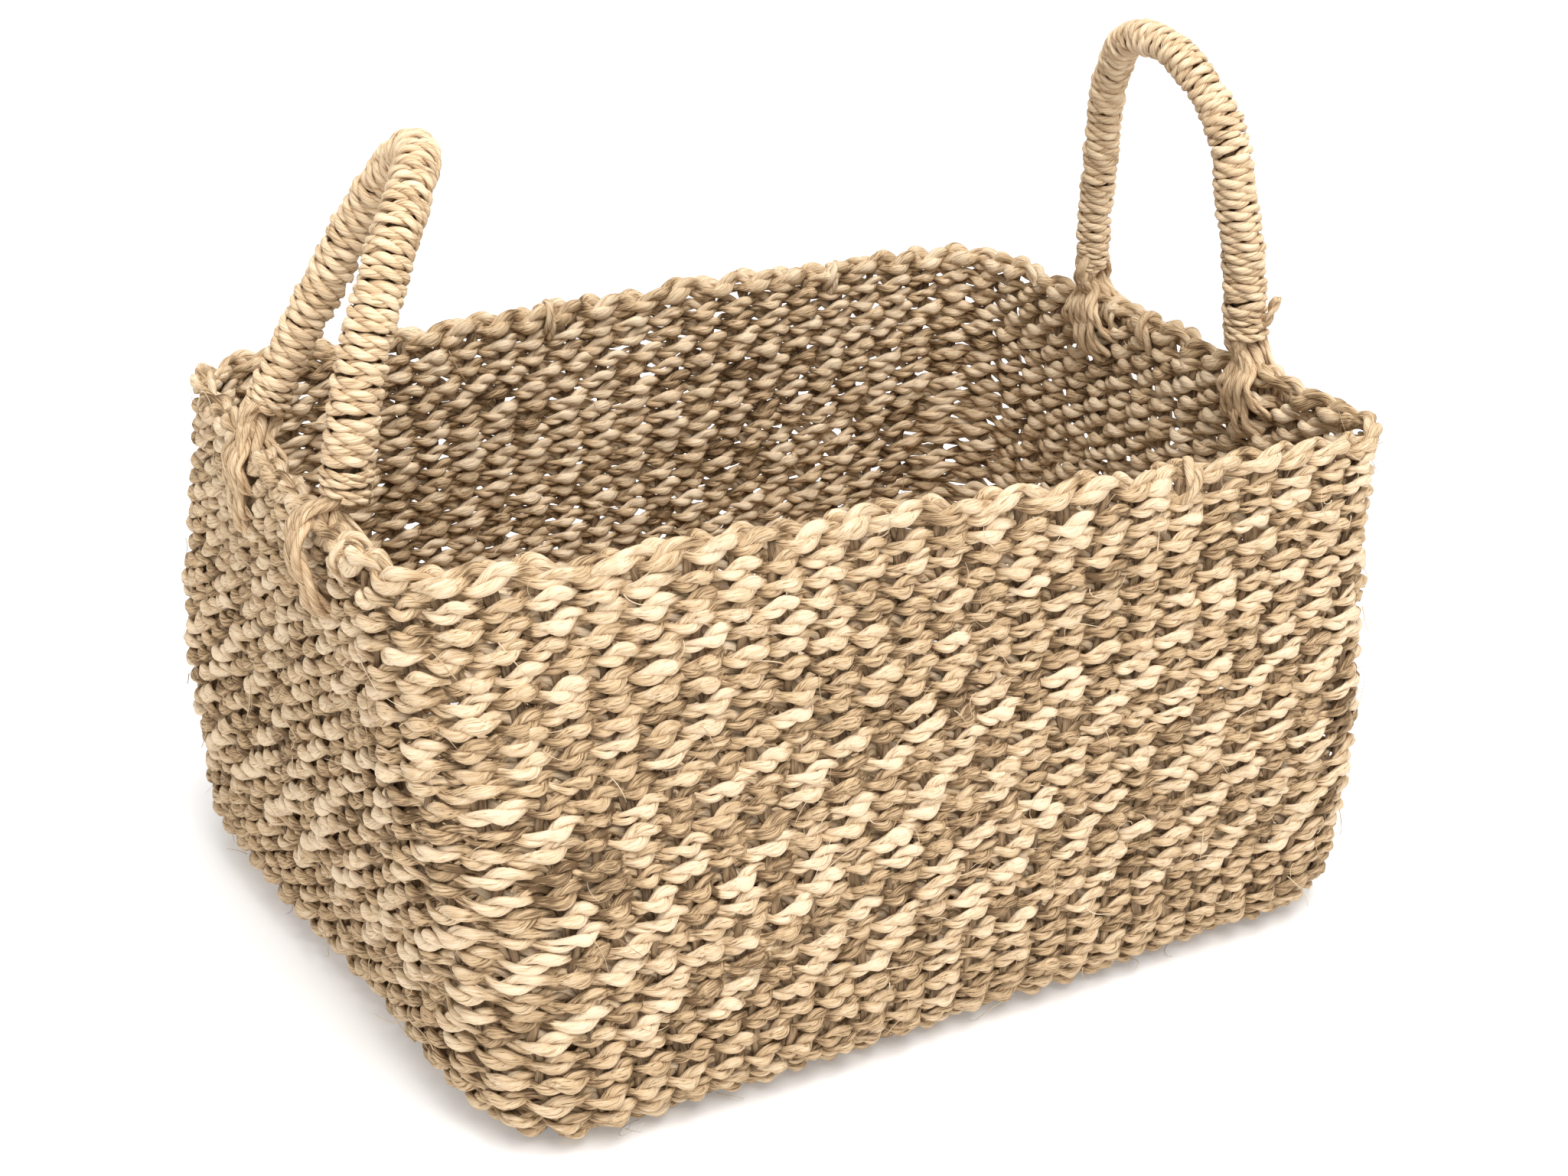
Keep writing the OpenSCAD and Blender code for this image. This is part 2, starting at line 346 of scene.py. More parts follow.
def cord_material(name, dark, mid, light, fibre, bump, streak=0.22):
    """Dried grass: tone runs from dark to light, with fibres and dark gaps between them along the strand.
    fibre and streak are how much the fibres and the gaps change the tone, bump how far they stand out."""
    mat = bpy.data.materials.new(name)
    mat.use_nodes = True
    nt = mat.node_tree
    nodes, links = nt.nodes, nt.links
    bsdf = nodes["Principled BSDF"]
    tone = nodes.new("ShaderNodeAttribute")
    tone.attribute_name = "tone"
    grain = nodes.new("ShaderNodeAttribute")
    grain.attribute_name = "grain"

    def stretched(scale_along, scale_across, detail, off):
        """Noise drawn out along the strand."""
        mp = nodes.new("ShaderNodeMapping")
        mp.inputs["Scale"].default_value = (scale_along, scale_across, scale_across)
        mp.inputs["Location"].default_value = (off, off * 2, off * 3)
        links.new(grain.outputs["Vector"], mp.inputs["Vector"])
        nz = nodes.new("ShaderNodeTexNoise")
        nz.inputs["Scale"].default_value = 1.0
        nz.inputs["Detail"].default_value = detail
        nz.inputs["Roughness"].default_value = 0.6
        links.new(mp.outputs["Vector"], nz.inputs["Vector"])
        return nz.outputs["Fac"]

    fine = stretched(0.10, 2.2, 3.0, 0)
    coarse = stretched(0.05, 0.9, 2.0, 7)
    patch = stretched(0.12, 0.12, 2.0, 13)

    def math_node(op, a, b, clamp=False):
        """One sum of two inputs, each a number or another node's output."""
        node = nodes.new("ShaderNodeMath")
        node.operation = op
        node.use_clamp = clamp
        for k, value in enumerate((a, b)):
            if isinstance(value, (int, float)):
                node.inputs[k].default_value = value
            else:
                links.new(value, node.inputs[k])
        return node.outputs[0]

    fine_part = math_node("MULTIPLY", math_node("SUBTRACT", fine, 0.5), fibre * 1.5)
    coarse_part = math_node("MULTIPLY", math_node("SUBTRACT", coarse, 0.5), fibre * 1.2)
    patch_part = math_node("MULTIPLY", math_node("SUBTRACT", patch, 0.5), 0.45)
    gap = math_node("MULTIPLY", math_node("SUBTRACT", 0.44, fine), 9.0, clamp=True)
    strand = math_node("ADD", tone.outputs["Fac"], patch_part)
    varied = math_node("ADD", strand, math_node("ADD", fine_part, coarse_part))
    total = math_node("SUBTRACT", varied, math_node("MULTIPLY", gap, streak), clamp=True)
    ramp = nodes.new("ShaderNodeValToRGB")
    stops = ramp.color_ramp.elements
    stops[0].color = (*dark, 1)
    stops[1].color = (*light, 1)
    stops.new(MID_STOP).color = (*mid, 1)
    links.new(total, ramp.inputs["Fac"])
    links.new(ramp.outputs["Color"], bsdf.inputs["Base Color"])
    bsdf.inputs["Roughness"].default_value = 0.72
    bsdf.inputs["Specular IOR Level"].default_value = 0.25
    height = math_node("ADD", math_node("MULTIPLY", fine, 0.6), coarse)
    bp = nodes.new("ShaderNodeBump")
    bp.inputs["Strength"].default_value = bump
    bp.inputs["Distance"].default_value = 0.0006
    links.new(height, bp.inputs["Height"])
    links.new(bp.outputs["Normal"], bsdf.inputs["Normal"])
    return mat


SEAGRASS = cord_material("seagrass_weft", (0.14, 0.082, 0.038), (0.52, 0.36, 0.202), (0.765, 0.61, 0.425),
                         fibre=0.9, bump=1.0, streak=0.30)
# The stakes are darker than the weft: their own tan-brown, made darker still with painted shade of the gaps
# between the rows where they show.
STAKE_MAT_PAINTED_SHADE = cord_material("seagrass_stake_painted_shade", (0.09, 0.055, 0.03), (0.25, 0.165, 0.09), (0.45, 0.32, 0.19),
                          fibre=0.8, bump=0.8)
WRAP_MAT = cord_material("handle_cord", (0.22, 0.13, 0.065), (0.58, 0.405, 0.235), (0.84, 0.665, 0.455),
                         fibre=0.9, bump=1.0, streak=0.28)


# ------------------------------------------------------------------ the weave
# Points along a cord from one stake to the next
SEG = 12


def smooth_random(t, step, spread):
    """Random values along t, smooth over step units."""
    x = t / step
    k0 = math.floor(x.min()) - 1
    vals = rng.normal(0, spread, int(x.max() - k0) + 4)
    i = np.floor(x).astype(int) - k0
    f = x - np.floor(x)
    f = f * f * (3 - 2 * f)
    return vals[i] * (1 - f) + vals[i + 1] * f


# How far past its stake a stitch is widest, as an angle of the twining
LEAD = 0.40
# How far the rise and fall of a cord lags behind its swing through the wall, as an angle of the twining
SMILE = 0.38
# How much painted shade darkens a cord where it passes between the stakes, deep in the wall
PAINTED_CREASE_SHADE = 0.46


def two_ply(strands, surf, t, phi, swing, rise, thick, ply_off, tone, phase,
            turn=1.15, bias=0.0, thin=0.60, sides=12):
    """One two-ply cord of a twined pair: phi is its place in the twining, swing and rise how far it
    goes through the wall and up and down, thick the half thickness of a ply, ply_off how far a ply lies
    from the cord's middle and turn the stakes passed in one turn of the plies. bias holds the cord more
    outside or inside the wall. A cord is thin where it passes between the stakes and swells to a leaf
    shape just after each stake."""
    u = phi - LEAD
    outness = (np.cos(u) + bias) / (1 + abs(bias))
    r = swing * np.tanh(1.2 * outness) / math.tanh(1.2)
    h = rise * np.sin(phi - SMILE)
    past_stake = np.mod(u + math.pi / 2, math.pi) - math.pi / 2 - 0.30 * np.sign(np.cos(u))
    full = thin + (1.06 - thin) * np.exp(-(past_stake / 0.95) ** 2)
    for ply in (0, 1):
        psi = -2 * math.pi * t / turn + phase + math.pi * ply
        c, s = np.cos(psi), np.sin(psi)
        rr = r + ply_off * c * full * 0.8
        hh = h + ply_off * s * full * 1.15
        plump = full * (1 + 0.16 * c * np.clip(2 * outness, -1, 1)) * (1 + smooth_random(t, 0.45, 0.07))
        p, n = surf(t, hh, rr)
        # Painted shade: a cord is darker where it passes between the stakes, deep in the wall.
        between = 1 - np.clip(np.abs(outness) * 1.5, 0, 1)
        shade = tone + smooth_random(t, 0.6, 0.05) + 0.03 * rng.normal() - PAINTED_CREASE_SHADE * between
        strands.add(p, n, thick * plump * 0.86, thick * plump * (1.05 + 0.16 * c ** 2), shade, sides,
                    twist=0.15, ridge=0.115)


# Where round the wall the cream and tan cords differ less
CREAM_FADE = Waves(12, 9, 1.2, 0.5)
# The lowest rows are tan and tight, and in the highest ones the two cords differ less
LAST_LOW_ROW, FIRST_HIGH_ROW = 6, 20
# The wall's cords: how far they swing through the wall and rise and fall, the half thickness of a ply, how
# far it lies from the cord's middle, and the stakes passed in one turn of the plies
CORD_SWING, CORD_RISE = 3.3, 1.75
PLY_THICK, PLY_OFF = 1.76, 1.60
PLY_TURN = 1.25
# Rows begin and end near this stake place, by the corner of the back and left walls
ROW_START = 61.0
# The share of stitches whose tone is turned from light to dark or from dark to light
ODD_SHARE = 0.14


def row_look(row, c):
    """The tone of cord c of a row, its spread, and how far the cord is held outside the wall."""
    if row <= LAST_LOW_ROW:
        return 0.50 + 0.06 * c, 0.08, 0.0
    if row >= FIRST_HIGH_ROW:
        return (0.78, 0.56)[c], 0.12, (0.15, -0.12)[c]
    return (0.88, 0.50)[c], 0.09, (0.38, -0.30)[c]


def weave_row(row):
    """One twined row of the wall: two cords, each of two plies."""
    st = Strands()
    start = ROW_START + rng.uniform(-1.5, 1.5)
    t = np.linspace(start, start + STAKES + 0.8, int((STAKES + 0.8) * SEG))
    if row <= TURN_ROWS:
        w0 = (row - 0.5) * TURN_LEN / TURN_ROWS
    else:
        w0 = TURN_LEN + ROW_PITCH * (row - TURN_ROWS - 0.5)
    low = row <= LAST_LOW_ROW
    swap = (row // 2) % 2
    slip = swap + 0.10 * rng.normal() + smooth_random(t, 5, 0.07)
    tight = 0.85 if low else 1.0
    snug = 0.96 if low else 1.0
    for c in (0, 1):
        phi = math.pi * (t - c + slip)
        stitch = np.round(t + slip - LEAD / math.pi).astype(int) - int(start) + 1
        jitter = rng.normal(0, 1, STAKES + 8)[stitch]
        odd = (rng.random(STAKES + 8) < ODD_SHARE)[stitch]
        base, spread, bias = row_look(row, c)
        fade = np.clip(CREAM_FADE(t, w0 + 0 * t), -1, 1)
        tone = base + spread * jitter + smooth_random(t, 5, 0.07) + (0.5 - base) * 0.5 * np.maximum(fade, 0)
        if not low:
            tone = np.where(odd, 1.25 - tone, tone)
        # Painted light: the tan cord is made lighter where it lies on the wall's inner face, so that the
        # inside of the basket looks brighter.
        if c == 1:
            tone = tone + 0.36 * np.clip(-np.cos(phi), 0, 1)
        size = (1.0 if c == 0 or low else 0.94) + smooth_random(t, 1.0, 0.09) + smooth_random(t, 5, 0.03)
        if row >= FIRST_HIGH_ROW:
            size = size + 0.13 * np.exp(-((t - STAKES - 2.5) / 4.5) ** 2)
        lift = smooth_random(t, 1.0, 0.55)
        puff = smooth_random(t, 1.0, 0.40)
        phase = rng.uniform(0, 2 * math.pi) + smooth_random(t, 2.0, 0.9)

        def surf(tt, hh, rr):
            return surface(tt, w0 + hh + lift, rr + puff)
        two_ply(st, surf, t, phi, CORD_SWING * tight, CORD_RISE * tight, PLY_THICK * size * snug,
                PLY_OFF * snug, tone, phase, turn=PLY_TURN, bias=bias)
    slot = "weft_cream" if row % 2 == 0 else "weft_tan"
    st.mesh("row_%02d" % row, SEAGRASS, "basket", ("weft_row_%02d" % row,), slot, warped=True)


# Length of stake in one turn of its plies, and the share of stakes whose ends show over the rim
STAKE_PERIOD = 26
STAKE_END_SHARE = 0.18


def stakes_between(*spans):
    """The numbers of the stakes in the given spans of places round the basket."""
    return [i for first, last in spans for i in range(int(first), int(last) + 1)]


def stake_groups():
    """Each piece's name, the CAD node that it replaces and its stakes."""
    front, right, back, left = (BREAKS[k:k + 2] for k in (0, 2, 4, 6))
    corners = ((BREAKS[k] + 1, BREAKS[k + 1] - 1) for k in (1, 3, 5, 7))
    return [("stakes_long", "cross_stakes", stakes_between(front, back)),
            ("stakes_right", "right_end_stakes", stakes_between(right)),
            ("stakes_left", "left_end_stakes", stakes_between(left)),
            ("stakes_corner", "corner_stakes_group", stakes_between(*corners))]


def wall_stakes():
    """Upright two-ply stakes, from the floor up round the turn and up the wall."""
    for name, node, members in stake_groups():
        st = Strands()
        for i in members:
            w = np.linspace(-2, RIM_W - 2, 84)
            wander = smooth_random(w, 12, 0.05)
            for ply in (0, 1):
                psi = w * 2 * math.pi / STAKE_PERIOD + i + math.pi * ply
                t = i + wander + 0.085 * np.sin(psi)
                p, n = surface(t, w, 0.8 * np.cos(psi))
                st.add(p, n, 1.1, 1.6, 0.42 + 0.1 * rng.normal(), 8, twist=0.1, ridge=0.12)
        if name == "stakes_long":
            for i in range(LONG + 1):
                floor_stake(st, i)
        st.mesh(name, STAKE_MAT_PAINTED_SHADE, "basket", (node,), "stake", warped=True)


# The floor's middle height, the reach of its rows along x and of its stakes along y
_floor_low, _floor_high = box_mm("floor_weft_lower")
FLOOR_Z = BASE_TURN - TURN_MID
FLOOR_X, FLOOR_Y = _floor_high[0] + 2.0, (half_size(1, BASE_TURN) - TURN_MID)
# Half the run of the stakes that cross the floor
STAKE_RUN = half_size(0, BASE_TURN) - corner_radius(BASE_TURN)
# The CAD floor is this many rows wide, less a little, because its rows are thinner than their pitch.
# One more row beside each long wall closes the gap at the turn.
CAD_FLOOR_ROWS = 35
FLOOR_PITCH = (_floor_high[1] - _floor_low[1]) / (CAD_FLOOR_ROWS - 0.054)
FLOOR_ROWS = CAD_FLOOR_ROWS + 2


def floor_stake(st, i):
    """The part of long stake i that crosses under the floor rows."""
    x = STAKE_RUN * (2 * i / LONG - 1)
    y = np.linspace(-FLOOR_Y - 1, FLOOR_Y + 1, 110)
    for ply in (0, 1):
        psi = y * 2 * math.pi / 11 + i + math.pi * ply
        p = np.stack([x + 1.0 * np.sin(psi), y, FLOOR_Z + 1.0 * np.cos(psi)], 1)
        st.add(p, np.tile([0, 0, 1.0], (len(y), 1)), 1.15, 1.2, 0.4, 6, twist=0.4)


def floor_weft():
    """Twined cords of the floor, running lengthwise: one cord of each row in each piece."""
    cords = (Strands(), Strands())
    pitch = 2 * STAKE_RUN / LONG
    rc = corner_radius(BASE_TURN) - TURN_MID
    for k in range(FLOOR_ROWS):
        y0 = (k - (FLOOR_ROWS - 1) / 2) * FLOOR_PITCH
        past = abs(y0) + 3 - (FLOOR_Y - rc)
        cut = rc - math.sqrt(max(0, rc ** 2 - max(0, past) ** 2))
        reach = (FLOOR_X - cut) / pitch
        t = np.linspace(-reach, reach, int(2 * reach * 8))
        for c in (0, 1):
            phi = math.pi * (t - c + k)
            tone = 0.42 + 0.06 * rng.normal() + smooth_random(t, 4, 0.08)

            def surf(tt, hh, rr):
                x = tt * pitch
                p = np.stack([x, y0 + hh, FLOOR_Z + rr + 0 * x], 1)
                return p, np.tile([0, 0, 1.0], (len(x), 1))
            two_ply(cords[c], surf, t, phi, 3.0, 1.3, 1.45, 1.15, tone,
                    rng.uniform(0, 6.28) + smooth_random(t, 4, 0.6), thin=0.75, sides=6)
    cords[0].mesh("floor_weave_lower", SEAGRASS, "basket", ("floor_weft_lower",), "weft_tan", warped=True)
    cords[1].mesh("floor_weave_upper", SEAGRASS, "basket", ("floor_weft_upper",), "weft_tan", warped=True)


def border():
    """The rim: a stout pair of twined cords."""
    st = Strands()
    t = np.linspace(61.3, 61.3 + STAKES + 0.7, int(STAKES * 14))
    lift = smooth_random(t, 0.9, 0.9) - 0.8
    for c in (0, 1):
        phi = math.pi * (t * 0.9 - c) + smooth_random(t, 2, 0.5)
        stitch = np.round(t).astype(int) - 60
        tone = 0.80 - 0.10 * c + 0.11 * rng.normal(0, 1, STAKES + 8)[stitch]
        size = 1 + smooth_random(t, 0.8, 0.11)
        phase = rng.uniform(0, 6.28) + smooth_random(t, 2.5, 0.9)

        def surf(tt, hh, rr):
            return surface(tt, RIM_W + hh + lift, rr)
        two_ply(st, surf, t, phi, 3.2, 2.5, 2.15 * size, 1.7, tone, phase, turn=1.7, bias=0.2, thin=0.66)
    st.mesh("rim_cord", SEAGRASS, "basket", ("rim_border",), "border_cord", warped=True)


def stake_ends():
    """Stake ends bent over the rim here and there."""
    ends = Strands()
    points = 26
    for i in range(STAKES):
        if rng.random() < 1 - STAKE_END_SHARE:
            continue
        slants = rng.random() < 0.7
        t0 = i + 0.1 * rng.normal()
        reach = rng.uniform(0.15, 0.55) if slants else rng.uniform(-0.15, 0.15)
        side = 1 if rng.random() < 0.6 else -1
        top = RIM_W + rng.uniform(2.4, 4.4)
        knots = np.array([(t0, RIM_W - 13, side * 0.5),
                          (t0 + 0.02, RIM_W - 8.0, side * 3.6),
                          (t0 + 0.2 * reach, RIM_W - 2, side * 5.6),
                          (t0 + 0.5 * reach, top, side * 2.2),
                          (t0 + 0.8 * reach, top - 1.0, -side * 3.2),
                          (t0 + reach, RIM_W - 3.5, -side * 5.0),
                          (t0 + 1.05 * reach, RIM_W - 9.5, -side * 1.5)])
        curve = resample(surface(*knots.T)[0], points)
        centre, _ = surface(np.array([t0 + 0.5 * reach]), np.array([RIM_W - 1.0]), np.zeros(1))
        out = unit(curve - centre)
        twist_cord(ends, curve, out, rng.uniform(1.5, 1.9), 1.6, 34, rng.uniform(0.56, 0.80), flat=0.8)
    ends.mesh("stake_ends", SEAGRASS, "basket", ("stake_end_tucks",), "weft_tan", warped=True)


# ------------------------------------------------------------------ strands in space
def resample(p, n):
    """A smooth curve through the points, with n points spaced evenly along it."""
    ends_added = np.vstack([2 * p[0] - p[1], p, 2 * p[-1] - p[-2]])
    u = np.linspace(0, 1, 12, endpoint=False)[:, None]
    fine = []
    for k in range(len(p) - 1):
        a, b, c, d = ends_added[k:k + 4]
        square, cube = 2 * a - 5 * b + 4 * c - d, 3 * b - a - 3 * c + d
        fine.append(0.5 * (2 * b + (c - a) * u + square * u ** 2 + cube * u ** 3))
    fine = np.vstack(fine + [p[-1:]])
    s = length_along(fine)
    at = np.linspace(0, s[-1], n)
    return np.stack([np.interp(at, s, fine[:, k]) for k in range(3)], 1)


def twist_cord(strands, curve, out, thick, ply_off, period, tone, sides=7, flat=1.0, widen=0.0):
    """A cord of two twisted plies along a curve; out is a direction across it at each point, and period
    is the length of one turn. flat squeezes the cord along out, and widen spreads a ply sideways where it
    lies on top."""
    s = length_along(curve)
    tan = unit(np.gradient(curve, axis=0))
    out = unit(out - tan * np.sum(out * tan, axis=1)[:, None])
    side = np.cross(tan, out)
    start = rng.uniform(0, 2 * math.pi)
    for ply in (0, 1):
        psi = 2 * math.pi * s / period + start + math.pi * ply
        p = curve + out * (ply_off * np.cos(psi) * flat)[:, None] + side * (ply_off * np.sin(psi))[:, None]
        half_width = thick * (1 + widen * np.cos(psi) ** 2)
        # Painted shade: where widen is set (the wrapping of the handles), a ply is darker where it turns
        # under the other ply, on its side towards the handle.
        shade = tone + 0.03 * rng.normal() - 0.10 * (1 - np.cos(psi)) * (widen > 0)
        strands.add(p, out, thick * flat, half_width, shade, sides, twist=0.3, ridge=0.12)


# ------------------------------------------------------------------ handles
PIVOT = {j["child"]: np.array(j["pos_m"], float) / MM for j in frame["joints"]}
# Middle line of each handle from the front foot over the top to the back foot, from its pivot
LINE = {
    "left": [(-4.6, -50, 1.1), (-1, -50, 24.3), (3.7, -49, 45.8), (11.5, -46, 65.9), (21.6, -39, 84.7),
             (32.6, -28, 97.4), (42.5, -12, 105.2), (45.5, 4, 103.2), (41.6, 19, 90.5), (34.7, 31, 72.4),
             (25.7, 39, 51.6), (15.5, 45, 31.2), (5, 49, 8.6), (2, 50, 2)],
    "right": [(0.3, -55, -4.5), (-3.1, -55, 28.8), (-7.5, -54, 54.3), (-9.3, -52, 70.7), (-11.3, -46, 84.9),
              (-15.0, -35, 98.4), (-17.2, -22, 106.6), (-17.8, -4, 109.4), (-16.3, 10, 105.7),
              (-13.0, 22, 96.4), (-8.0, 36, 77), (-4.1, 44, 50), (-1.9, 50, 22.9), (-0.3, 53, -3)],
}
# Half thickness over the wrapping, at even steps from the front foot to the back foot
GIRTH = {
    "left": [9.7, 9.5, 9.2, 8.9, 8.5, 8.3, 8.4, 8.4, 8.3, 8.3, 8.5],
    "right": [9.4, 9.0, 8.8, 8.3, 7.6, 7.4, 7.4, 7.6, 7.7, 7.5, 7.4],
}
# How far the middle of the wrapping cord lies under its outside, and the length of the binding at each foot
CORD_OFF = 2.0
NECK = 13.0
# The wrapping cord and the finer binding at the feet: the pitch of their turns, the half thickness of a ply,
# how far it lies from the cord's middle, the length of one turn of the plies, and the tone
WRAPPING = {"pitch": 4.4, "thick": 1.32, "ply_off": 1.12, "period": 17, "tone": 0.68, "sides": 9}
BINDING = {"pitch": 3.1, "thick": 0.92, "ply_off": 0.8, "period": 13, "tone": 0.66, "extra": 0.4}
POINTS_PER_TURN = 44
# A direction across the legs of both handles, along +X and a little up
ACROSS = (1.0, 0, 0.1)


class Arch:
    """The middle line of a handle with a frame that doesn't turn along it."""

    def __init__(self, side):
        self.p = resample(np.array(LINE[side]) + PIVOT[side + "_handle"], 400)
        self.s = length_along(self.p)
        self.length = self.s[-1]
        tan = unit(np.gradient(self.p, axis=0))
        self.n = unit(np.array(ACROSS) - tan * (tan @ np.array(ACROSS))[:, None])
        self.m = np.cross(tan, self.n)
        self.girth = np.interp(np.linspace(0, 1, 400), np.linspace(0, 1, 11), GIRTH[side])

    def between(self, values, s):
        """Values at each point of the line, read at distances s along it."""
        return np.stack([np.interp(s, self.s, values[:, k]) for k in range(3)], 1)

    def at(self, s, r, th):
        """The point at distance s along the line, r from it at angle th round it, and the way out there."""
        out = self.between(self.n, s) * np.cos(th)[:, None] + self.between(self.m, s) * np.sin(th)[:, None]
        return self.between(self.p, s) + out * r[:, None], out

    def half(self, s):
        """Half thickness of the handle at distance s."""
        return np.interp(s, self.s, self.girth)


def wind(st, arch, s0, s1, pitch, thick, ply_off, period, tone, extra=0.0, sides=7):
    """Cord wound round the arch from s0 to s1, the middle of the cord extra outside its usual place."""
    turns = (s1 - s0) / pitch
    n = int(turns * POINTS_PER_TURN)
    th = np.linspace(0, 2 * math.pi * turns, n) + rng.uniform(0, 6)
    step = 1 + smooth_random(th / (2 * math.pi), 1.0, 0.06)
    s = s0 + (s1 - s0) * np.cumsum(step) / np.sum(step)
    s = s + smooth_random(th, 1.7, 0.45)
    r = arch.half(s) - CORD_OFF + extra + smooth_random(th, 2.2, 0.28)
    curve, out = arch.at(s, r, th)
    shade = tone + smooth_random(th, 3.0, 0.09)
    twist_cord(st, curve, out, thick, ply_off, period, 0.0, sides=sides, flat=0.9, widen=0.35)
    for ply in (-1, -2):
        st.tone[ply] = st.tone[ply] + np.repeat(shade, sides)


def handle(side):
    """One handle: its core rope, its wrapping, and the binding and strands at each foot."""
    arch = Arch(side)
    body = side + "_handle"
    core = Strands()
    for k in range(3):
        psi = arch.s[2:-2] * 2 * math.pi / 40 + k * 2 * math.pi / 3
        r = (arch.girth[2:-2] - 4.4) * 0.55
        p, out = arch.at(arch.s[2:-2], r, psi)
        core.add(p, out, r * 0.95, r * 0.95, 0.4, 10, twist=0.1)
    core.mesh(side + "_core_rope", STAKE_MAT_PAINTED_SHADE, body, (side + "_handle_core",), "core_rope")
    wrap = Strands()
    wind(wrap, arch, NECK - 1, arch.length - NECK + 1, **WRAPPING)
    wrap.mesh(side + "_wrapping", WRAP_MAT, body, (side + "_handle_wrap",), "handle_wrap_cord")
    for name, a, b in (("front", 1.5, NECK), ("back", arch.length - NECK, arch.length - 1.5)):
        binding = Strands()
        wind(binding, arch, a, b, **BINDING)
        foot = side + "_" + name
        binding.mesh(foot + "_binding", WRAP_MAT, body, (foot + "_neck",), "handle_wrap_cord")
        anchor_strands(side, name, arch)
    return arch


def wall_place(side, y):
    """Stake place t on the left or right wall at y, near the rim."""
    run = half_size(1, BORDER_Z) - corner_radius(BORDER_Z)
    if side == "right":
        return BREAKS[2] + SHORT * (y + run) / (2 * run)
    return BREAKS[6] + SHORT * (run - y) / (2 * run)


# The strands at a foot: each one's place beside the foot in stake places, the wall's face (1 outside),
# how far down it runs and its half thickness. At the left front foot the outer ones lie in one flat bundle.
FAN = [(-0.9, 1, 15, 1.5), (-0.45, 1, 24, 1.8), (0.0, 1, 30, 1.8), (0.35, 1, 22, 1.6), (0.8, 1, 11, 1.5),
       (-0.65, -1, 9, 1.6), (-0.35, -1, 17, 2.0), (-0.05, -1, 20, 2.1), (0.25, -1, 17, 2.0),
       (0.6, -1, 9, 1.6)]
BUNDLE = [(-0.30, 1, 24, 2.3), (-0.02, 1, 28, 2.4), (0.26, 1, 25, 2.2),
          (-0.65, -1, 10, 1.6), (-0.3, -1, 18, 1.9), (0.05, -1, 22, 2.0), (0.4, -1, 16, 1.9),
          (0.75, -1, 9, 1.5)]
# How far the strands stand out from the wall's middle, and the outer ones of the bundle
FAN_BOW, BUNDLE_BOW = 8.4, 11.5


def anchor_strands(side, name, arch):
    """Strands of the core that fork at a foot and run over the rim into the wall on both faces."""
    st = Strands()
    foot = arch.p[0] if name == "front" else arch.p[-1]
    s_in = 9.0 if name == "front" else arch.length - 9.0
    s_foot = 0.5 if name == "front" else arch.length - 0.5
    t0 = wall_place(side, foot[1])
    bundled = (side, name) == ("left", "front")
    for dt in (-0.3, 0.0, 0.3):
        a, _ = arch.at(np.array([s_in, s_foot]), np.array([2.0, 3.2]), np.array([9.0 * dt, 9.0 * dt]))
        w, _ = surface(np.array([t0 + dt, t0 + dt]), np.array([RIM_W + 3.5, RIM_W - 6]), np.array([0.0, 0.0]))
        curve = resample(np.vstack([a, warp(w)]), 20)
        twist_cord(st, curve, np.tile(ACROSS, (20, 1)), 2.1, 1.9, 30, 0.5)
    for dt, face, drop, thick in (BUNDLE if bundled else FAN):
        bow = BUNDLE_BOW if bundled and face > 0 else FAN_BOW
        dt = dt * rng.uniform(0.85, 1.1)
        facing = 0 if face * (1 if side == "right" else -1) > 0 else math.pi
        th = rng.uniform(-0.3, 0.3) + facing + dt * 0.8
        a, _ = arch.at(np.array([s_in, s_foot]), np.array([3.6, 6.2]), np.array([th, th]))
        knots = np.array([(t0 + 0.45 * dt, RIM_W + 5.5, face * 4.5),
                          (t0 + 0.8 * dt, RIM_W - 2, face * bow),
                          (t0 + dt, RIM_W - drop * 0.55, face * bow),
                          (t0 + dt * 1.05 - 0.12, RIM_W - drop, face * 7.0),
                          (t0 + dt * 1.1 - 0.38, RIM_W - drop - 4, face * 2.0)])
        w, _ = surface(*knots.T)
        curve = resample(np.vstack([a, warp(w)]), 34)
        middle, _ = surface(np.array([t0]), np.array([RIM_W]), np.zeros(1))
        out = curve - warp(middle)
        out[:, 1] *= 0.2
        twist_cord(st, curve, unit(out), thick, thick * 0.9, 34, 0.5 + 0.08 * rng.normal(), flat=0.72)
    place = side + "_" + name
    obj = st.mesh(place + "_strands", WRAP_MAT, None, (place + "_anchor",), "core_rope")
    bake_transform(obj)


def loose_end(arch):
    """The end of the wrapping cord that sticks out beside the right handle's front foot."""
    st = Strands()
    p, _ = arch.at(np.array([7.0, 8.5, 10.5]), np.array([6.0, 9.6, 11.0]), np.array([-1.2, -1.2, -1.2]))
    far = p[-1] + np.array([[0.8, -1.2, 4.0], [1.8, -2.6, 8.0]])
    curve = resample(np.vstack([p, far]), 16)
    twist_cord(st, curve, np.tile([1.0, 0.3, 0.2], (16, 1)), 1.2, 1.0, 14, 0.6)
    st.mesh("loose_end", WRAP_MAT, "right_handle", ("right_wrap_tail",), "handle_wrap_cord")


# ------------------------------------------------------------------ stray fibres
# Millimetres from one stake to the next, about
STAKE_PITCH = 16.8


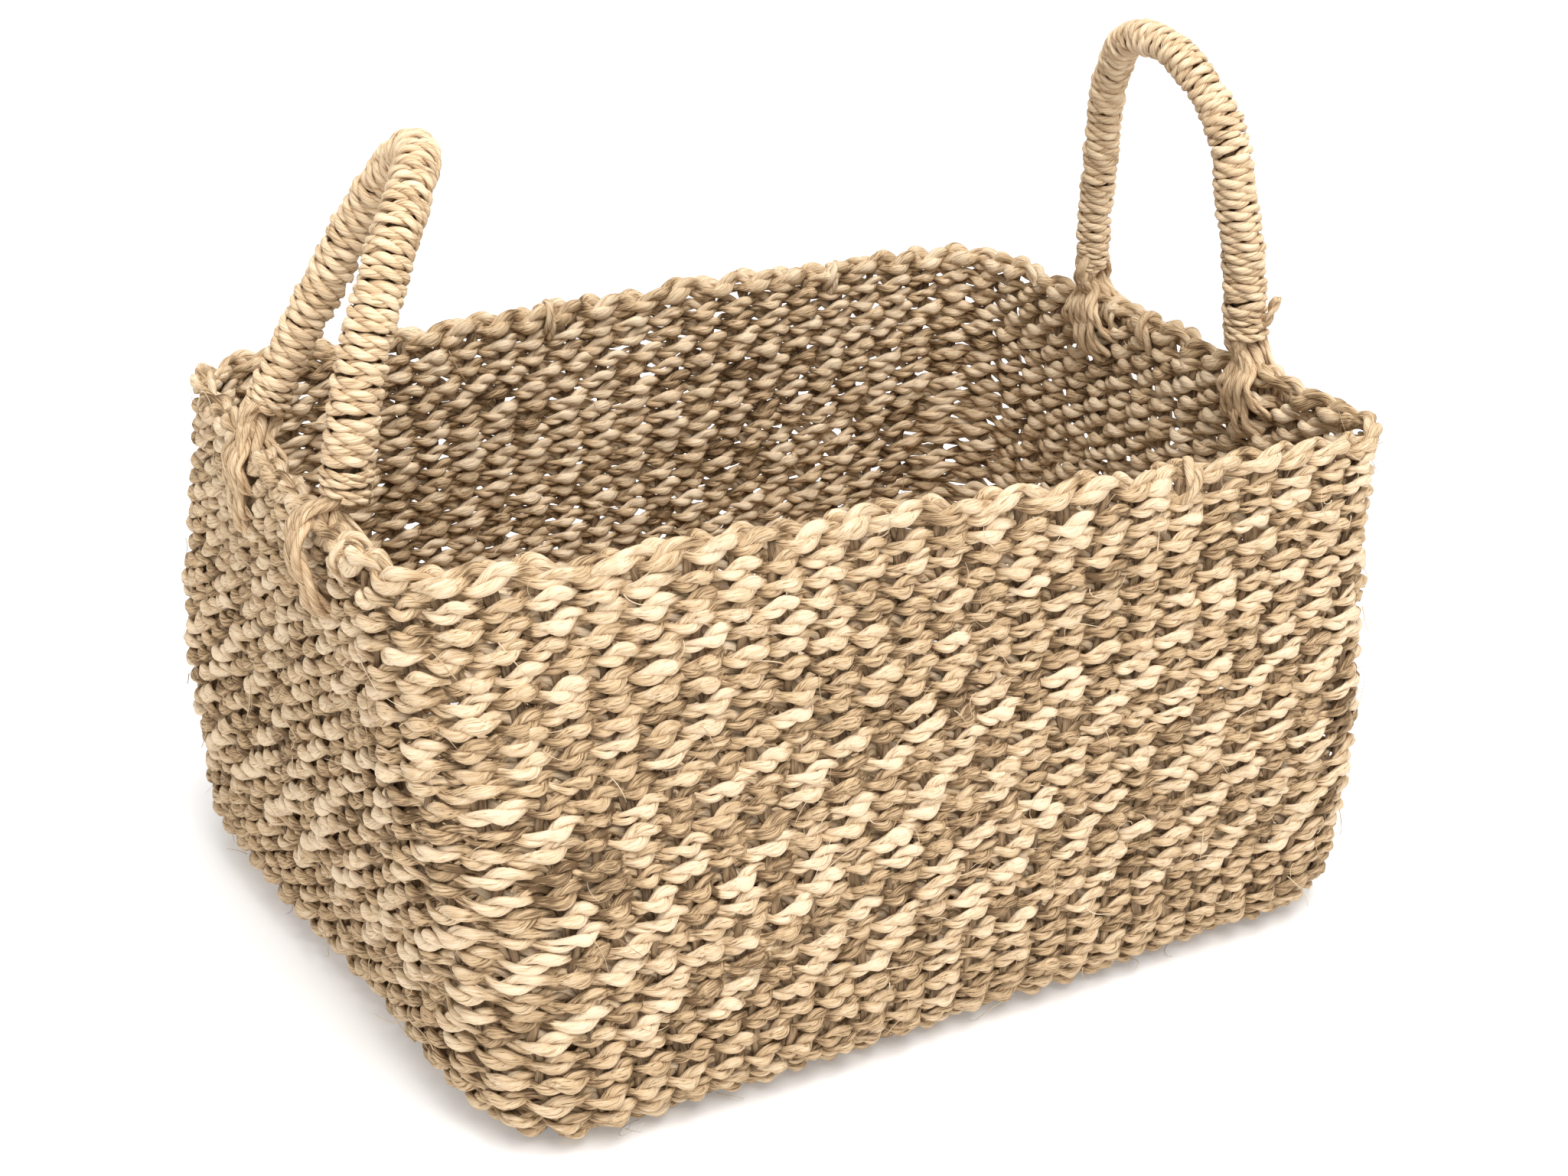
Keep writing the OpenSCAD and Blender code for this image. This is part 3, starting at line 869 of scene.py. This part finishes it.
def stray_fibres(count):
    """Fine loose fibres that stand out from the weave."""
    st = Strands()
    for _ in range(count):
        t0, w0 = rng.uniform(0, STAKES), rng.uniform(4, RIM_W + 4)
        face = 1 if rng.random() < 0.8 else -1
        n = 9
        u = np.linspace(0, 1, n)
        span = rng.uniform(5, 20)
        ang = rng.uniform(0, 2 * math.pi)
        bend = rng.normal(0, 0.25)
        t = t0 + u * span * np.cos(ang + bend * u * 4) / STAKE_PITCH
        w = w0 + u * span * np.sin(ang + bend * u * 4) * 0.8
        r = face * (5.0 + rng.uniform(0.5, 6) * u ** 1.5)
        p, out = surface(t, w, r)
        half = rng.uniform(0.10, 0.28) * (1 - 0.6 * u)
        st.add(p, out, half, half, rng.uniform(0.6, 1.0), 4)
    st.mesh("stray_fibres", SEAGRASS, "basket", (), "weft_cream", warped=True)


# ------------------------------------------------------------------ floor and light of the studio
# Half the floor's side and its depth under the basket, in metres
FLOOR_HALF = 6.0
FLOOR_DROP = 0.0005


def studio_floor():
    """A plain pale floor."""
    mat = bpy.data.materials.new("studio_floor")
    mat.use_nodes = True
    inputs = mat.node_tree.nodes["Principled BSDF"].inputs
    inputs["Base Color"].default_value = (0.92, 0.92, 0.92, 1)
    inputs["Roughness"].default_value = 0.9
    inputs["Specular IOR Level"].default_value = 0.0
    inputs["Emission Color"].default_value = (1, 1, 1, 1)
    inputs["Emission Strength"].default_value = 0.17
    me = bpy.data.meshes.new("studio_floor")
    corners = [(-1, -1), (1, -1), (1, 1), (-1, 1)]
    me.from_pydata([(x * FLOOR_HALF, y * FLOOR_HALF, -FLOOR_DROP) for x, y in corners], [], [(0, 1, 2, 3)])
    me.materials.append(mat)
    floor = bpy.data.objects.new("studio_floor", me)
    bpy.context.scene.collection.objects.link(floor)


def studio_light():
    """Soft white light from all round, with two large lamps."""
    world = bpy.data.worlds.new("world")
    world.use_nodes = True
    world.node_tree.nodes["Background"].inputs["Color"].default_value = (1, 1, 1, 1)
    world.node_tree.nodes["Background"].inputs["Strength"].default_value = 0.76
    bpy.context.scene.world = world
    area_light("key", (-0.5, -1.7, 1.9), (0, 0, 0.1), 0.9, 26)
    area_light("top", (0.0, -0.7, 2.1), (0, 0.05, 0.1), 1.2, 35)
    bpy.context.scene.view_settings.view_transform = "Standard"


# ------------------------------------------------------------------ build
make_camera()
for row in range(1, ROWS + 1):
    weave_row(row)
wall_stakes()
floor_weft()
border()
stake_ends()
handle("left")
loose_end(handle("right"))
stray_fibres(650)
studio_floor()
studio_light()
